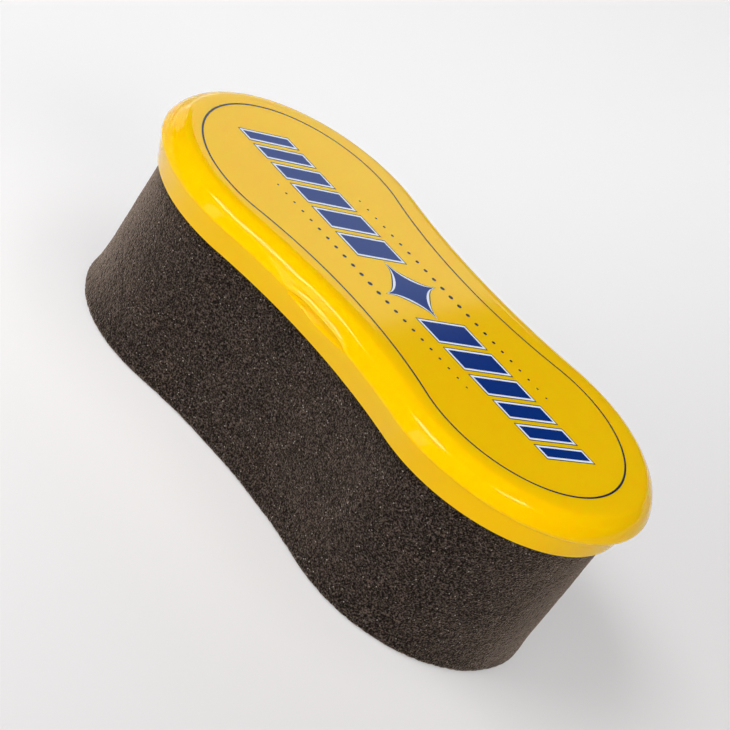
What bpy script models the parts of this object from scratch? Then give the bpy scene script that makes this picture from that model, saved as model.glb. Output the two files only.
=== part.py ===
"""Shoe shine sponge: a waisted plastic cap over an oil pad, a feed plate, a glue film and a foam block.

Run with: blender --background --python part.py

Metres, +Z up. +X runs along the sponge and +Y across it. The origin is under the middle of the foam,
in the plane that the sponge stands on. Every outline is a waisted oval: two round ends of one radius,
joined by a hollow arc on each long side. A smaller outline is the same oval moved inwards by an inset,
so insets are how far a wall, a step or a clearance lies inside the widest line of the cap.
"""

import math

import bmesh
import bpy

MM = 0.001

# Overall size
CAP_LENGTH = 127.2 * MM
CAP_WIDTH = 63.4 * MM
CAP_WAIST_WIDTH = 56.0 * MM
OVERALL_HEIGHT = 43.5 * MM

# Cap in section, from the top face down to the edge of the skirt
CAP_DEPTH = 10.0 * MM
SHOULDER_WIDTH = 6.4 * MM
SHOULDER_DROP = 3.4 * MM
SHOULDER_POWER = 2.7
BEAD_FLAT = 0.7 * MM
BEAD_ROUND = 0.8 * MM
SKIRT_STEP = 2.2 * MM
STEP_FILLET = 0.5 * MM
SKIRT_EDGE_ROUND = 0.3 * MM
TOP_WALL = 2.0 * MM
UPPER_WALL = 2.0 * MM
SKIRT_WALL = 1.2 * MM
CEILING_FILLET = 0.6 * MM

# Finger scoop under the bead, in the middle of each long side
SCOOP_LENGTH = 16.5 * MM
SCOOP_HEIGHT = 2.3 * MM
SCOOP_DEPTH = 0.8 * MM
SCOOP_POWER = 1.5
SCOOP_STAGES = (0.35, 0.7, 1.0)

# Moulded posts that pass through the pad and hold the plate by their flattened heads
POST_RADIUS = 1.6 * MM
POST_EDGE_DISTANCE = 10.0 * MM
STAKE_HEAD_RADIUS = 2.5 * MM
STAKE_HEAD_HEIGHT = 0.6 * MM

# Moulded ribs on the inner wall that stop the plate
RIB_REACH = 1.6 * MM
RIB_WIDTH = 1.4 * MM
RIB_ANGLES = (-65.0, -22.0, 22.0, 65.0)

# Layers between the cap and the foam
PAD_THICKNESS = 2.6 * MM
PLATE_THICKNESS = 1.4 * MM
FILM_THICKNESS = 0.4 * MM
FEED_HOLE_RADIUS = 1.8 * MM
FEED_PITCH_ALONG = 12.0 * MM
FEED_PITCH_ACROSS = 9.0 * MM
FEED_EDGE_DISTANCE = 7.5 * MM
FEED_WEB = 1.0 * MM

# Foam block
FOOT_FLARE = 0.5 * MM
FOOT_FLARE_HEIGHT = 8.0 * MM
FOOT_EDGE_ROUND = 0.8 * MM

# Fits
CLEARANCE = 0.3 * MM
HOLE_CLEARANCE = 0.4 * MM

# Faceting
END_STEPS = 28
WAIST_STEPS = 24
SHOULDER_STEPS = 7
ROUND_STEPS = 3
FLARE_STEPS = 5
POST_SIDES = 16
FEED_SIDES = 12
SMOOTH_ANGLE = math.radians(35.0)

# Outline arcs
END_RADIUS = CAP_WIDTH / 2
END_CENTRE = CAP_LENGTH / 2 - END_RADIUS
HALF_WAIST = CAP_WAIST_WIDTH / 2
WAIST_RADIUS = (END_CENTRE ** 2 + HALF_WAIST ** 2 - END_RADIUS ** 2) / (2 * (END_RADIUS - HALF_WAIST))
WAIST_CENTRE = HALF_WAIST + WAIST_RADIUS
END_SWEEP = math.atan2(WAIST_CENTRE, -END_CENTRE)

# Insets and heights that follow from the sizes above
CAVITY_INSET = SKIRT_STEP + UPPER_WALL
MOUTH_INSET = SKIRT_STEP + SKIRT_WALL
PLATE_INSET = CAVITY_INSET + CLEARANCE
PAD_INSET = CAVITY_INSET + RIB_REACH + CLEARANCE
FOAM_INSET = MOUTH_INSET + CLEARANCE
POST_INSET = CAVITY_INSET + POST_EDGE_DISTANCE
SHOULDER_FOOT_Z = OVERALL_HEIGHT - SHOULDER_DROP
STEP_Z = SHOULDER_FOOT_Z - BEAD_FLAT - BEAD_ROUND
SKIRT_EDGE_Z = OVERALL_HEIGHT - CAP_DEPTH
CEILING_Z = OVERALL_HEIGHT - TOP_WALL
PAD_TOP_Z = CEILING_Z - CLEARANCE
PAD_BASE_Z = PAD_TOP_Z - PAD_THICKNESS
PLATE_TOP_Z = PAD_BASE_Z - CLEARANCE
PLATE_BASE_Z = PLATE_TOP_Z - PLATE_THICKNESS
FILM_TOP_Z = PLATE_BASE_Z - CLEARANCE
FILM_BASE_Z = FILM_TOP_Z - FILM_THICKNESS
LEDGE_Z = FILM_BASE_Z
FOAM_TOP_Z = LEDGE_Z - CLEARANCE

YELLOW = (0.93, 0.56, 0.003, 1.0)
FELT_WHITE = (0.78, 0.75, 0.66, 1.0)
PLATE_GREY = (0.30, 0.31, 0.32, 1.0)
FILM_AMBER = (0.72, 0.62, 0.42, 1.0)
FOAM_CHARCOAL = (0.045, 0.037, 0.033, 1.0)


def clear_scene():
    """Remove whatever the file holds."""
    for item in list(bpy.data.objects):
        bpy.data.objects.remove(item, do_unlink=True)


def make_material(name, colour, roughness):
    """Return a Principled material of one colour."""
    material = bpy.data.materials.new(name)
    material.use_nodes = True
    shader = material.node_tree.nodes["Principled BSDF"]
    shader.inputs["Base Color"].default_value = colour
    shader.inputs["Roughness"].default_value = roughness
    shader.inputs["Metallic"].default_value = 0.0
    material.diffuse_color = colour
    return material


def arc(centre_x, centre_y, radius, start, end, steps):
    """Return points along an arc, without the last one."""
    points = []
    for step in range(steps):
        angle = start + (end - start) * step / steps
        points.append((centre_x + radius * math.cos(angle), centre_y + radius * math.sin(angle)))
    return points


def waisted_oval(inset):
    """Return the outline at an inset, counter-clockwise, starting where the +X end begins."""
    end_radius = END_RADIUS - inset
    waist_radius = WAIST_RADIUS + inset
    lean = END_SWEEP - math.pi
    outline = arc(END_CENTRE, 0.0, end_radius, -END_SWEEP, END_SWEEP, END_STEPS)
    outline += arc(0.0, WAIST_CENTRE, waist_radius, lean, -math.pi - lean, WAIST_STEPS)
    outline += arc(-END_CENTRE, 0.0, end_radius, math.pi - END_SWEEP, math.pi + END_SWEEP, END_STEPS)
    outline += arc(0.0, -WAIST_CENTRE, waist_radius, math.pi + lean, -lean, WAIST_STEPS)
    return outline


def half_width_at_waist(inset):
    """Return how far the outline lies from the middle line at the waist."""
    return HALF_WAIST - inset


def inside_outline(x, y, inset):
    """Tell whether a point lies inside the outline at an inset."""
    if abs(x) * WAIST_CENTRE > (WAIST_CENTRE - abs(y)) * END_CENTRE:
        return math.hypot(abs(x) - END_CENTRE, y) < END_RADIUS - inset
    return math.hypot(x, WAIST_CENTRE - abs(y)) > WAIST_RADIUS + inset


def scoop_depth(x, drop):
    """Return how deep the finger scoop cuts at a place along the waist and a drop below the bead."""
    along = abs(x) / (SCOOP_LENGTH / 2)
    down = drop / SCOOP_HEIGHT
    return SCOOP_DEPTH * max(0.0, 1.0 - along ** SCOOP_POWER - down ** SCOOP_POWER)


def ring(inset, z, drop=None):
    """Return one ring of points on the outline at an inset and a height.

    With a drop below the bead, the points in the waist move inwards to form the two scoops.
    """
    points = []
    for x, y in waisted_oval(inset):
        if drop is not None:
            y -= math.copysign(scoop_depth(x, drop), y)
        points.append((x, y, z))
    return points


def rounded(inset, z, radius, start, end):
    """Return rings along a quarter round whose centre lies at an inset and a height."""
    rings = []
    for step in range(1, ROUND_STEPS + 1):
        angle = math.radians(start + (end - start) * step / ROUND_STEPS)
        rings.append(ring(inset - radius * math.cos(angle), z + radius * math.sin(angle)))
    return rings


def loft(name, rings, base_z, material):
    """Make one closed body from rings of equal count, the first and last ones filled.

    The body's own origin lies at its base height on the upright middle line.
    """
    mesh = bpy.data.meshes.new(name)
    bm = bmesh.new()
    loops = [[bm.verts.new((x, y, z - base_z)) for x, y, z in points] for points in rings]
    for upper, lower in zip(loops, loops[1:]):
        for index in range(len(upper)):
            following = (index + 1) % len(upper)
            bm.faces.new((upper[index], upper[following], lower[following], lower[index]))
    bm.faces.new(loops[0])
    bm.faces.new(list(reversed(loops[-1])))
    bmesh.ops.recalc_face_normals(bm, faces=bm.faces)
    bm.to_mesh(mesh)
    bm.free()
    mesh.shade_smooth()
    mesh.set_sharp_from_angle(angle=SMOOTH_ANGLE)
    mesh.materials.append(material)
    body = bpy.data.objects.new(name, mesh)
    body.location = (0.0, 0.0, base_z)
    bpy.context.collection.objects.link(body)
    return body


def turned_pins(name, places, profile, sides):
    """Make one guide object of upright turned pins, one at each place.

    The profile lists (radius, height) from the top of the pin to its base.
    """
    mesh = bpy.data.meshes.new(name)
    bm = bmesh.new()
    for x, y in places:
        loops = []
        for radius, z in profile:
            circle = arc(x, y, radius, 0.0, 2 * math.pi, sides)
            loops.append([bm.verts.new((point[0], point[1], z)) for point in circle])
        for upper, lower in zip(loops, loops[1:]):
            for index in range(sides):
                following = (index + 1) % sides
                bm.faces.new((upper[index], lower[index], lower[following], upper[following]))
        bm.faces.new(loops[0])
        bm.faces.new(list(reversed(loops[-1])))
    bmesh.ops.recalc_face_normals(bm, faces=bm.faces)
    return finish_guide(name, mesh, bm)


def wall_ribs(name, base_z):
    """Make one guide object of upright ribs on the inner wall, square to the wall at both ends."""
    mesh = bpy.data.meshes.new(name)
    bm = bmesh.new()
    wall = END_RADIUS - CAVITY_INSET
    inner = wall - RIB_REACH
    outer = wall + UPPER_WALL / 2
    height = CEILING_Z + TOP_WALL / 2 - base_z
    for side in (0.0, 180.0):
        for degrees in RIB_ANGLES:
            turn = math.radians(side + degrees)
            centre_x = math.copysign(END_CENTRE, math.cos(math.radians(side)))
            middle = (inner + outer) / 2
            block = bmesh.ops.create_cube(bm, size=1.0)["verts"]
            for vertex in block:
                along = middle + vertex.co.x * (outer - inner)
                across = vertex.co.y * RIB_WIDTH
                x = centre_x + along * math.cos(turn) - across * math.sin(turn)
                y = along * math.sin(turn) + across * math.cos(turn)
                vertex.co = (x, y, base_z + (vertex.co.z + 0.5) * height)
    return finish_guide(name, mesh, bm)


def finish_guide(name, mesh, bm):
    """Turn a bmesh into a hidden guide object."""
    bm.to_mesh(mesh)
    bm.free()
    guide = bpy.data.objects.new(name, mesh)
    bpy.context.collection.objects.link(guide)
    guide.hide_render = True
    guide.display_type = "WIRE"
    return guide


def combine(body, guide, operation):
    """Add or cut a guide's shape with a Boolean modifier."""
    modifier = body.modifiers.new(guide.name, "BOOLEAN")
    modifier.operation = operation
    modifier.solver = "EXACT"
    modifier.object = guide


def post_places():
    """Return where the posts stand: across each round end and across the waist."""
    places = []
    for x in (-END_CENTRE, END_CENTRE):
        reach = END_RADIUS - POST_INSET
        places += [(x, -reach), (x, reach)]
    waist_reach = half_width_at_waist(POST_INSET)
    places += [(0.0, -waist_reach), (0.0, waist_reach)]
    return places


def feed_places():
    """Return the feed holes: a grid without those too near the edge or a post."""
    along = int(CAP_LENGTH / 2 / FEED_PITCH_ALONG)
    across = int(CAP_WIDTH / 2 / FEED_PITCH_ACROSS)
    post_margin = FEED_HOLE_RADIUS + STAKE_HEAD_RADIUS + HOLE_CLEARANCE + FEED_WEB
    places = []
    for column in range(-along, along + 1):
        for row in range(-across, across + 1):
            x = column * FEED_PITCH_ALONG
            y = row * FEED_PITCH_ACROSS
            if not inside_outline(x, y, PLATE_INSET + FEED_EDGE_DISTANCE):
                continue
            if min(math.hypot(x - px, y - py) for px, py in post_places()) < post_margin:
                continue
            places.append((x, y))
    return places


def cap_rings():
    """Return the rings of the cap: down the outside, round the skirt's edge and up the inside.

    The wall is thicker above the ledge that the foam's rim comes up to.
    """
    rings = []
    for step in range(SHOULDER_STEPS + 1):
        outward = math.sin(0.5 * math.pi * step / SHOULDER_STEPS)
        fall = 1.0 - (1.0 - outward ** SHOULDER_POWER) ** (1.0 / SHOULDER_POWER)
        rings.append(ring(SHOULDER_WIDTH * (1.0 - outward), OVERALL_HEIGHT - SHOULDER_DROP * fall))
    bead_foot_z = SHOULDER_FOOT_Z - BEAD_FLAT
    rings.append(ring(0.0, bead_foot_z))
    rings += rounded(BEAD_ROUND, bead_foot_z, BEAD_ROUND, 0.0, -90.0)
    rings.append(ring(SKIRT_STEP - STEP_FILLET / 2, STEP_Z, 0.0))
    rings.append(ring(SKIRT_STEP, STEP_Z - STEP_FILLET / 2, STEP_FILLET / 2))
    for stage in SCOOP_STAGES:
        rings.append(ring(SKIRT_STEP, STEP_Z - SCOOP_HEIGHT * stage, SCOOP_HEIGHT * stage))
    rings.append(ring(SKIRT_STEP, SKIRT_EDGE_Z + SKIRT_EDGE_ROUND))
    rings.append(ring(SKIRT_STEP + SKIRT_EDGE_ROUND, SKIRT_EDGE_Z))
    rings.append(ring(MOUTH_INSET, SKIRT_EDGE_Z))
    rings.append(ring(MOUTH_INSET, LEDGE_Z))
    rings.append(ring(CAVITY_INSET, LEDGE_Z))
    rings.append(ring(CAVITY_INSET, CEILING_Z - CEILING_FILLET))
    rings.append(ring(CAVITY_INSET + CEILING_FILLET, CEILING_Z))
    return rings


def build_cap():
    """Make the yellow cap with its posts and stop ribs."""
    plastic = make_material("yellow_plastic", YELLOW, 0.12)
    cap = loft("handle_cap", cap_rings(), SKIRT_EDGE_Z, plastic)
    head_top_z = PLATE_BASE_Z + STAKE_HEAD_HEIGHT
    post_profile = (
        (POST_RADIUS, CEILING_Z + TOP_WALL / 2),
        (POST_RADIUS, head_top_z),
        (STAKE_HEAD_RADIUS, head_top_z),
        (STAKE_HEAD_RADIUS, PLATE_BASE_Z),
    )
    combine(cap, turned_pins("post_guide", post_places(), post_profile, POST_SIDES), "UNION")
    combine(cap, wall_ribs("rib_guide", PLATE_TOP_Z + CLEARANCE), "UNION")
    return cap


def build_layer(name, inset, top_z, base_z, material):
    """Make one flat layer of the cap's outline at an inset."""
    return loft(name, [ring(inset, top_z), ring(inset, base_z)], base_z, material)


def build_pad():
    """Make the felt pad that holds the oil, with a hole for each post."""
    felt = make_material("felt", FELT_WHITE, 0.95)
    pad = build_layer("oil_pad", PAD_INSET, PAD_TOP_Z, PAD_BASE_Z, felt)
    radius = POST_RADIUS + HOLE_CLEARANCE
    profile = ((radius, PAD_TOP_Z + CLEARANCE), (radius, PAD_BASE_Z - CLEARANCE))
    combine(pad, turned_pins("pad_hole_guide", post_places(), profile, POST_SIDES), "DIFFERENCE")
    return pad


def build_plate():
    """Make the feed plate, counterbored for the stake heads and drilled for the oil."""
    plastic = make_material("plate_plastic", PLATE_GREY, 0.45)
    plate = build_layer("feed_plate", PLATE_INSET, PLATE_TOP_Z, PLATE_BASE_Z, plastic)
    bore_radius = POST_RADIUS + HOLE_CLEARANCE
    head_radius = STAKE_HEAD_RADIUS + HOLE_CLEARANCE
    seat_z = PLATE_BASE_Z + STAKE_HEAD_HEIGHT + CLEARANCE
    bore = (
        (bore_radius, PLATE_TOP_Z + CLEARANCE),
        (bore_radius, seat_z),
        (head_radius, seat_z),
        (head_radius, PLATE_BASE_Z - CLEARANCE),
    )
    combine(plate, turned_pins("plate_bore_guide", post_places(), bore, POST_SIDES), "DIFFERENCE")
    feed = ((FEED_HOLE_RADIUS, PLATE_TOP_Z + CLEARANCE), (FEED_HOLE_RADIUS, PLATE_BASE_Z - CLEARANCE))
    combine(plate, turned_pins("plate_feed_guide", feed_places(), feed, FEED_SIDES), "DIFFERENCE")
    return plate


def build_film():
    """Make the glue film between plate and foam, open at every feed hole."""
    glue = make_material("glue_film", FILM_AMBER, 0.5)
    film = build_layer("glue_film", PLATE_INSET, FILM_TOP_Z, FILM_BASE_Z, glue)
    radius = FEED_HOLE_RADIUS + HOLE_CLEARANCE
    feed = ((radius, FILM_TOP_Z + CLEARANCE), (radius, FILM_BASE_Z - CLEARANCE))
    combine(film, turned_pins("film_feed_guide", feed_places(), feed, FEED_SIDES), "DIFFERENCE")
    return film


def build_foam():
    """Make the foam block: straight walls that flare a little at the foot, with a soft lower edge."""
    rings = [ring(FOAM_INSET, FOAM_TOP_Z)]
    for step in range(FLARE_STEPS + 1):
        down = step / FLARE_STEPS
        z = FOOT_FLARE_HEIGHT + (FOOT_EDGE_ROUND - FOOT_FLARE_HEIGHT) * down
        rings.append(ring(FOAM_INSET - FOOT_FLARE * down ** 2, z))
    foot_inset = FOAM_INSET - FOOT_FLARE
    rings += rounded(foot_inset + FOOT_EDGE_ROUND, FOOT_EDGE_ROUND, FOOT_EDGE_ROUND, 0.0, -90.0)
    return loft("foam_block", rings, 0.0, make_material("foam", FOAM_CHARCOAL, 1.0))


def main():
    """Build the sponge, each piece under one empty."""
    clear_scene()
    sponge = bpy.data.objects.new("sponge", None)
    bpy.context.collection.objects.link(sponge)
    for build_piece in (build_cap, build_pad, build_plate, build_film, build_foam):
        build_piece().parent = sponge


main()
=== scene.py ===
"""Shoe shine sponge: a glossy waisted cap with a printed top, over a block of fine charcoal foam.

Every length is in metres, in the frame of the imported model: +X along the sponge, +Y across it, +Z up,
with the origin under the middle of the foam. Outlines are waisted ovals. Those of the cap and the foam are
the cap's widest one moved inwards by an inset, and the printed line has an oval of its own.
"""

import logging
import math
from dataclasses import dataclass
from enum import Enum
from typing import Any, Callable, Optional, Sequence, Union

import bmesh
import bpy
import numpy as np
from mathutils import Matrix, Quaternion, Vector


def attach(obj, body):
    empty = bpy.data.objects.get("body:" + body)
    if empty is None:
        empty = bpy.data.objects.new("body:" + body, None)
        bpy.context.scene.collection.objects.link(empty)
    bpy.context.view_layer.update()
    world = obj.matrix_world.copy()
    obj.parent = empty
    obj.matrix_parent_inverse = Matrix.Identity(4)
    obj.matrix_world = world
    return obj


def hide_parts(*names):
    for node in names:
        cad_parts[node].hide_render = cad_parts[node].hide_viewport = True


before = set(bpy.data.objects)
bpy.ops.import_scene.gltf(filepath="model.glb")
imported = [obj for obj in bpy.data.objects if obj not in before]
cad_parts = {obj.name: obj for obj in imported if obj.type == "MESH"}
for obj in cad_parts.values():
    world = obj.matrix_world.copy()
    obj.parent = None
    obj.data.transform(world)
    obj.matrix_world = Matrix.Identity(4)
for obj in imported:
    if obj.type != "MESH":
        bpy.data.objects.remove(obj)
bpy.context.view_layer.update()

LOG = logging.getLogger("sponge")
MM = 0.001
BODY = "root"
CAP_SLOT = "yellow_plastic"
MERGE_DISTANCE = 0.002 * MM
TRACE_STEPS = 8193
# Edges that turn more than this many degrees stay sharp, on rounded pieces and on flat ones
ROUND_ANGLE, FLAT_ANGLE = 40.0, 30.0
GUIDE_ATTRIBUTES = ("outward", "waisted", "scooped", "fade")
Colour = tuple[float, float, float]
Number = Union[float, int, "Signal"]


def tone(red: int, green: int, blue: int) -> Colour:
    """Turn a colour of 0 to 255 per channel into linear light.

    Args:
        red: Red as shown on a screen.
        green: Green as shown on a screen.
        blue: Blue as shown on a screen.

    Returns:
        The three linear channels.
    """
    shown = np.array([red, green, blue]) / 255.0
    linear = np.where(shown <= 0.04045, shown / 12.92, ((shown + 0.055) / 1.055) ** 2.4)
    return float(linear[0]), float(linear[1]), float(linear[2])


def heading(azimuth: float, elevation: float) -> Vector:
    """Return the unit vector of a direction in degrees, azimuth 0 along +Y and 90 along -X."""
    turn, rise = math.radians(azimuth), math.radians(elevation)
    return Vector((-math.sin(turn) * math.cos(rise), math.cos(turn) * math.cos(rise), math.sin(rise)))


def joined_by(operation: str, reflected: bool = False) -> Callable[["Signal", Number], "Signal"]:
    """Return a method that puts a signal and another value through a Math node.

    Args:
        operation: The node's operation.
        reflected: True where the other value comes first.

    Returns:
        The method.
    """

    def join(own: "Signal", other: Number) -> "Signal":
        """Add the node."""
        values = (other, own) if reflected else (own, other)
        return own.sheet.maths(operation, *values)

    return join


class Signal:
    """The output of a node, which takes part in arithmetic."""

    def __init__(self, sheet: "Sheet", socket: bpy.types.NodeSocket) -> None:
        """Keep the sheet and the socket."""
        self.sheet = sheet
        self.socket = socket

    def sibling(self, name: str) -> "Signal":
        """Return another output of the same node."""
        return Signal(self.sheet, find_port(self.socket.node.outputs, name))

    __add__ = joined_by("ADD")
    __radd__ = joined_by("ADD", reflected=True)
    __sub__ = joined_by("SUBTRACT")
    __rsub__ = joined_by("SUBTRACT", reflected=True)
    __mul__ = joined_by("MULTIPLY")
    __rmul__ = joined_by("MULTIPLY", reflected=True)
    __truediv__ = joined_by("DIVIDE")
    __rtruediv__ = joined_by("DIVIDE", reflected=True)
    __pow__ = joined_by("POWER")
    __gt__ = joined_by("GREATER_THAN")
    least = joined_by("MINIMUM")
    most = joined_by("MAXIMUM")

    def __abs__(self) -> "Signal":
        """Drop the sign."""
        return self.sheet.maths("ABSOLUTE", self)

    def eased(self, low: float, high: float) -> "Signal":
        """Ease from 0 at low to 1 at high."""
        limits = {"Value": self, "From Min": low, "From Max": high}
        return self.sheet.add("ShaderNodeMapRange", {"interpolation_type": "SMOOTHSTEP"}, limits)


def find_port(ports: Any, key: Union[str, int]) -> bpy.types.NodeSocket:
    """Return the socket in use that has a name, or the one at an index.

    Args:
        ports: A node's inputs or outputs.
        key: The socket's name or index.

    Returns:
        The socket.
    """
    if isinstance(key, int):
        return ports[key]
    for port in ports:
        if port.enabled and port.name == key:
            return port
    raise KeyError(f"no socket {key!r} among {[port.name for port in ports]}")


class Sheet:
    """A node tree that is written by calls."""

    def __init__(self, tree: bpy.types.NodeTree) -> None:
        """Keep the tree."""
        self.tree = tree

    def add(
        self,
        kind: str,
        settings: Optional[dict[str, Any]] = None,
        sockets: Optional[dict[Union[str, int], Any]] = None,
        output: Union[str, int] = 0,
    ) -> Signal:
        """Make a node, set it up, then fill or link its inputs.

        Args:
            kind: The node's type.
            settings: What is set before the sockets.
            sockets: Inputs by name or index, each a value or a signal.
            output: Which output to return.

        Returns:
            The signal of that output.
        """
        made = self.tree.nodes.new(kind)
        for key, value in (settings or {}).items():
            setattr(made, key, value)
        for key, value in (sockets or {}).items():
            self.fill(find_port(made.inputs, key), value)
        return Signal(self, find_port(made.outputs, output))

    def fill(self, port: bpy.types.NodeSocket, value: Any) -> None:
        """Link a signal to an input, or set the input's value."""
        if isinstance(value, Signal):
            self.tree.links.new(value.socket, port)
        else:
            port.default_value = value

    def maths(self, operation: str, *values: Number) -> Signal:
        """Add a Math node for one to three numbers or signals."""
        return self.add("ShaderNodeMath", {"operation": operation}, dict(enumerate(values)))

    def vector(self, operation: str, first: Any, second: Any = None, scale: Any = None) -> Signal:
        """Add a Vector Math node.

        Args:
            operation: The node's operation.
            first: A vector or signal.
            second: The second vector or signal, where the operation has one.
            scale: The factor of the SCALE operation.

        Returns:
            The result.
        """
        sockets = {0: first}
        if second is not None:
            sockets[1] = second
        if scale is not None:
            sockets["Scale"] = scale
        return self.add("ShaderNodeVectorMath", {"operation": operation}, sockets)

    def blend(self, share: Number, first: Any, second: Any) -> Signal:
        """Mix two colours.

        Args:
            share: 0 for the first, 1 for the second.
            first: A colour or signal.
            second: A colour or signal.

        Returns:
            The mixed colour.
        """
        sides = {"Factor": share}
        for name, value in (("A", first), ("B", second)):
            sides[name] = value if isinstance(value, Signal) else (*value, 1.0)
        return self.add("ShaderNodeMix", {"data_type": "RGBA"}, sides, "Result")

    def noise(self, place: Signal, size: float, detail: float = 2.0, roughness: float = 0.5) -> Signal:
        """Return soft noise of 0 to 1, whose features are size wide, with finer layers as detail."""
        sockets = {"Vector": place, "Scale": 1.0 / size, "Detail": detail, "Roughness": roughness}
        return self.add("ShaderNodeTexNoise", None, sockets)

    def cells(self, place: Signal, size: Number, output: str = "Distance") -> Signal:
        """Return the distance to the middle of round cells that are size wide, or another output of them."""
        sockets = {"Vector": place, "Scale": 1.0 / size}
        return self.add("ShaderNodeTexVoronoi", None, sockets, output)


class Surface(Sheet):
    """A material's tree, with its Principled shader."""

    def __init__(self, name: str) -> None:
        """Make the material.

        Args:
            name: The material's name.
        """
        self.material = bpy.data.materials.new(name)
        self.material.use_nodes = True
        super().__init__(self.material.node_tree)
        self.shader = self.tree.nodes["Principled BSDF"]
        self.place = self.add("ShaderNodeTexCoord", None, None, "Object")

    def moved(self, scale: Colour) -> Signal:
        """Return the place stretched by a factor for each axis."""
        return self.add("ShaderNodeMapping", None, {"Vector": self.place, "Scale": scale})

    def dress(self, **sockets: Any) -> None:
        """Fill or link the shader's inputs, whose names have underscores for spaces."""
        for key, value in sockets.items():
            self.fill(find_port(self.shader.inputs, key.replace("_", " ")), value)

    def relief(
        self, height: Signal, depth: float, strength: float = 1.0, under: Optional[Signal] = None
    ) -> Signal:
        """Return normals of a relief.

        Args:
            height: The relief, 0 to 1.
            depth: How deep it is.
            strength: How much of it shows.
            under: Normals of a coarser relief below it.

        Returns:
            The normals.
        """
        sockets: dict[Union[str, int], Any] = {"Strength": strength, "Distance": depth, "Height": height}
        if under is not None:
            sockets["Normal"] = under
        return self.add("ShaderNodeBump", None, sockets)


@dataclass(frozen=True)
class GlossPlastic:
    """Moulded glossy plastic with slow flow marks, a faint ripple and fine scuffs."""

    name: str
    colour: Colour
    deep: Colour
    gloss: float = 0.065
    mirror_level: float = 0.20
    mirror_tint: tuple[float, float, float, float] = (1.0, 0.92, 0.38, 1.0)
    flow_size: float = 38 * MM
    speckle_size: float = 0.7 * MM
    scuff_size_x: float = 0.35 * MM
    scuff_size_y: float = 0.4 * MM
    patch_size: float = 16 * MM
    ripple_size: float = 7 * MM
    ripple_depth: float = 0.02 * MM
    grain_size: float = 0.9 * MM
    grain_depth: float = 0.004 * MM
    light_depth: float = 0.8 * MM

    def make(self) -> bpy.types.Material:
        """Return the material."""
        s = Surface(self.name)
        flow = s.noise(s.place, self.flow_size, 1.0).eased(0.3, 0.7)
        speckle = s.noise(s.place, self.speckle_size, 2.0, 0.7).eased(0.66, 0.86)
        scuff_x = s.noise(s.moved((0.05, 1.0, 1.0)), self.scuff_size_x).eased(0.66, 0.82)
        scuff_y = s.noise(s.moved((1.0, 0.06, 1.0)), self.scuff_size_y).eased(0.68, 0.84)
        patch = s.noise(s.place, self.patch_size).eased(0.45, 0.75)
        scuffs = (scuff_x + scuff_y) * patch
        ripple = s.relief(s.noise(s.place, self.ripple_size, 1.0), self.ripple_depth, 0.18)
        grain = s.noise(s.place, self.grain_size, 1.0)
        s.dress(
            Base_Color=s.blend(flow * 0.25 + speckle * 0.10, self.colour, self.deep),
            Roughness=self.gloss + patch * 0.02 + scuffs * 0.08,
            Normal=s.relief(grain - scuffs * 0.6, self.grain_depth, 0.35, ripple),
            IOR=1.49,
            Specular_IOR_Level=self.mirror_level,
            Specular_Tint=self.mirror_tint,
            Subsurface_Weight=0.85,
            Subsurface_Radius=(1.0, 0.62, 0.12),
            Subsurface_Scale=self.light_depth,
        )
        return s.material


@dataclass(frozen=True)
class PrintInk:
    """Pad-printed ink: a thin film with a slight mottle and pinholes of gloss."""

    name: str
    colour: Colour
    gloss: float = 0.10
    mirror_level: float = 0.25
    mirror_tint: tuple[float, float, float, float] = (0.10, 0.60, 1.0, 1.0)
    mottle_size: float = 1.4 * MM
    grain_size: float = 0.25 * MM
    grain_depth: float = 0.006 * MM

    def make(self) -> bpy.types.Material:
        """Return the material."""
        s = Surface(self.name)
        mottle = s.noise(s.place, self.mottle_size, 3.0, 0.6)
        lighter = tuple(min(1.0, channel * 1.18 + 0.004) for channel in self.colour)
        s.dress(
            Base_Color=s.blend(mottle.eased(0.35, 0.75) * 0.25, self.colour, lighter),
            Roughness=self.gloss + mottle * 0.06,
            Normal=s.relief(s.noise(s.place, self.grain_size), self.grain_depth, 0.3),
            IOR=1.48,
            Specular_IOR_Level=self.mirror_level,
            Specular_Tint=self.mirror_tint,
        )
        return s.material


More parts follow.
